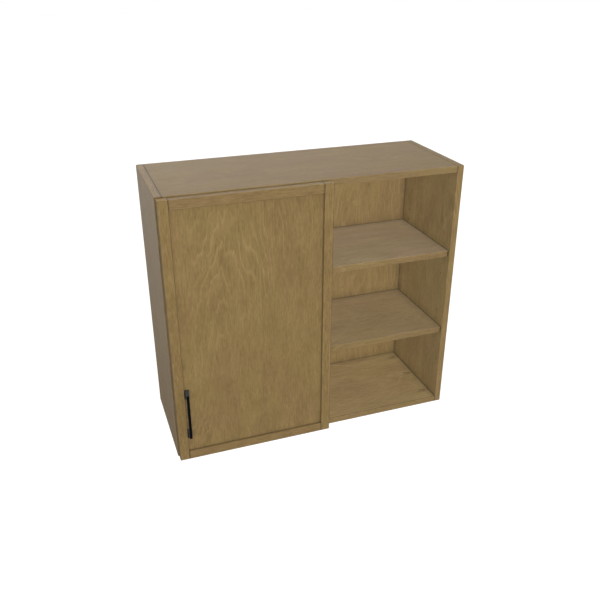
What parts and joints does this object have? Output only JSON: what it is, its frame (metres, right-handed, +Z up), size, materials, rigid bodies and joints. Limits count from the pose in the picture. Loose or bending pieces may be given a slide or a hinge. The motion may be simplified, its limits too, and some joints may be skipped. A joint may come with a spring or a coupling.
{
  "type": "blind corner wall cabinet",
  "caption": "Frameless blind corner wall cabinet in stained wood: slim-frame door with black bar pull on concealed hinges, open bay beside it, shelves running through behind the door.",
  "frame": {"origin": "centre of the wall screw holes on the wall face of the back", "axes": "+X right along the wall, +Y into the wall so the door faces -Y, +Z up"},
  "size_m": [0.8382, 0.3415, 0.762],
  "materials": {
    "carcass_wood": "stained satin veneer",
    "door_wood": "stained satin veneer",
    "dowel_wood": "bare beech",
    "black_metal": "matte black",
    "plated_steel": "nickel plated",
    "connector_plastic": "moulded, tinted to the wood",
    "bumper": "soft translucent"
  },
  "bodies": {
    "cabinet": {"left_side": "carcass_wood", "right_side": "carcass_wood", "top_panel": "carcass_wood", "bottom_panel": "carcass_wood", "back_panel": "carcass_wood", "back_screws": "plated_steel", "hinge_mullion": "carcass_wood", "connector_housings": "connector_plastic", "connector_bolts": "plated_steel", "panel_dowels": "dowel_wood", "mullion_dowels": "dowel_wood", "shelf_pins": "plated_steel", "lower_hinge_arm": "plated_steel", "lower_hinge_plate": "plated_steel", "upper_hinge_arm": "plated_steel", "upper_hinge_plate": "plated_steel", "plate_screws": "plated_steel", "hinge_adjusters": "plated_steel"},
    "door": {"door_left_stile": "door_wood", "door_right_stile": "door_wood", "door_top_rail": "door_wood", "door_bottom_rail": "door_wood", "door_panel": "door_wood", "door_bumpers": "bumper", "door_pull": "black_metal", "pull_screws": "plated_steel", "lower_hinge_cup": "plated_steel", "upper_hinge_cup": "plated_steel", "hinge_pins": "plated_steel", "cup_screws": "plated_steel"},
    "lower_shelf_board": {"lower_shelf": "carcass_wood"},
    "upper_shelf_board": {"upper_shelf": "carcass_wood"}
  },
  "joints": [
    {"name": "door_swing", "type": "hinge", "parent": "cabinet", "child": "door", "pos_m": [0.0241, -0.3162, 0], "axis": [0, 0, 1], "range_deg": [0, 100]},
    {"name": "lower_shelf_lift", "type": "slide", "parent": "cabinet", "child": "lower_shelf_board", "axis": [0, 0, 1], "range_m": [0, 0.064]},
    {"name": "upper_shelf_lift", "type": "slide", "parent": "cabinet", "child": "upper_shelf_board", "axis": [0, 0, 1], "range_m": [0, 0.064]}
  ]
}
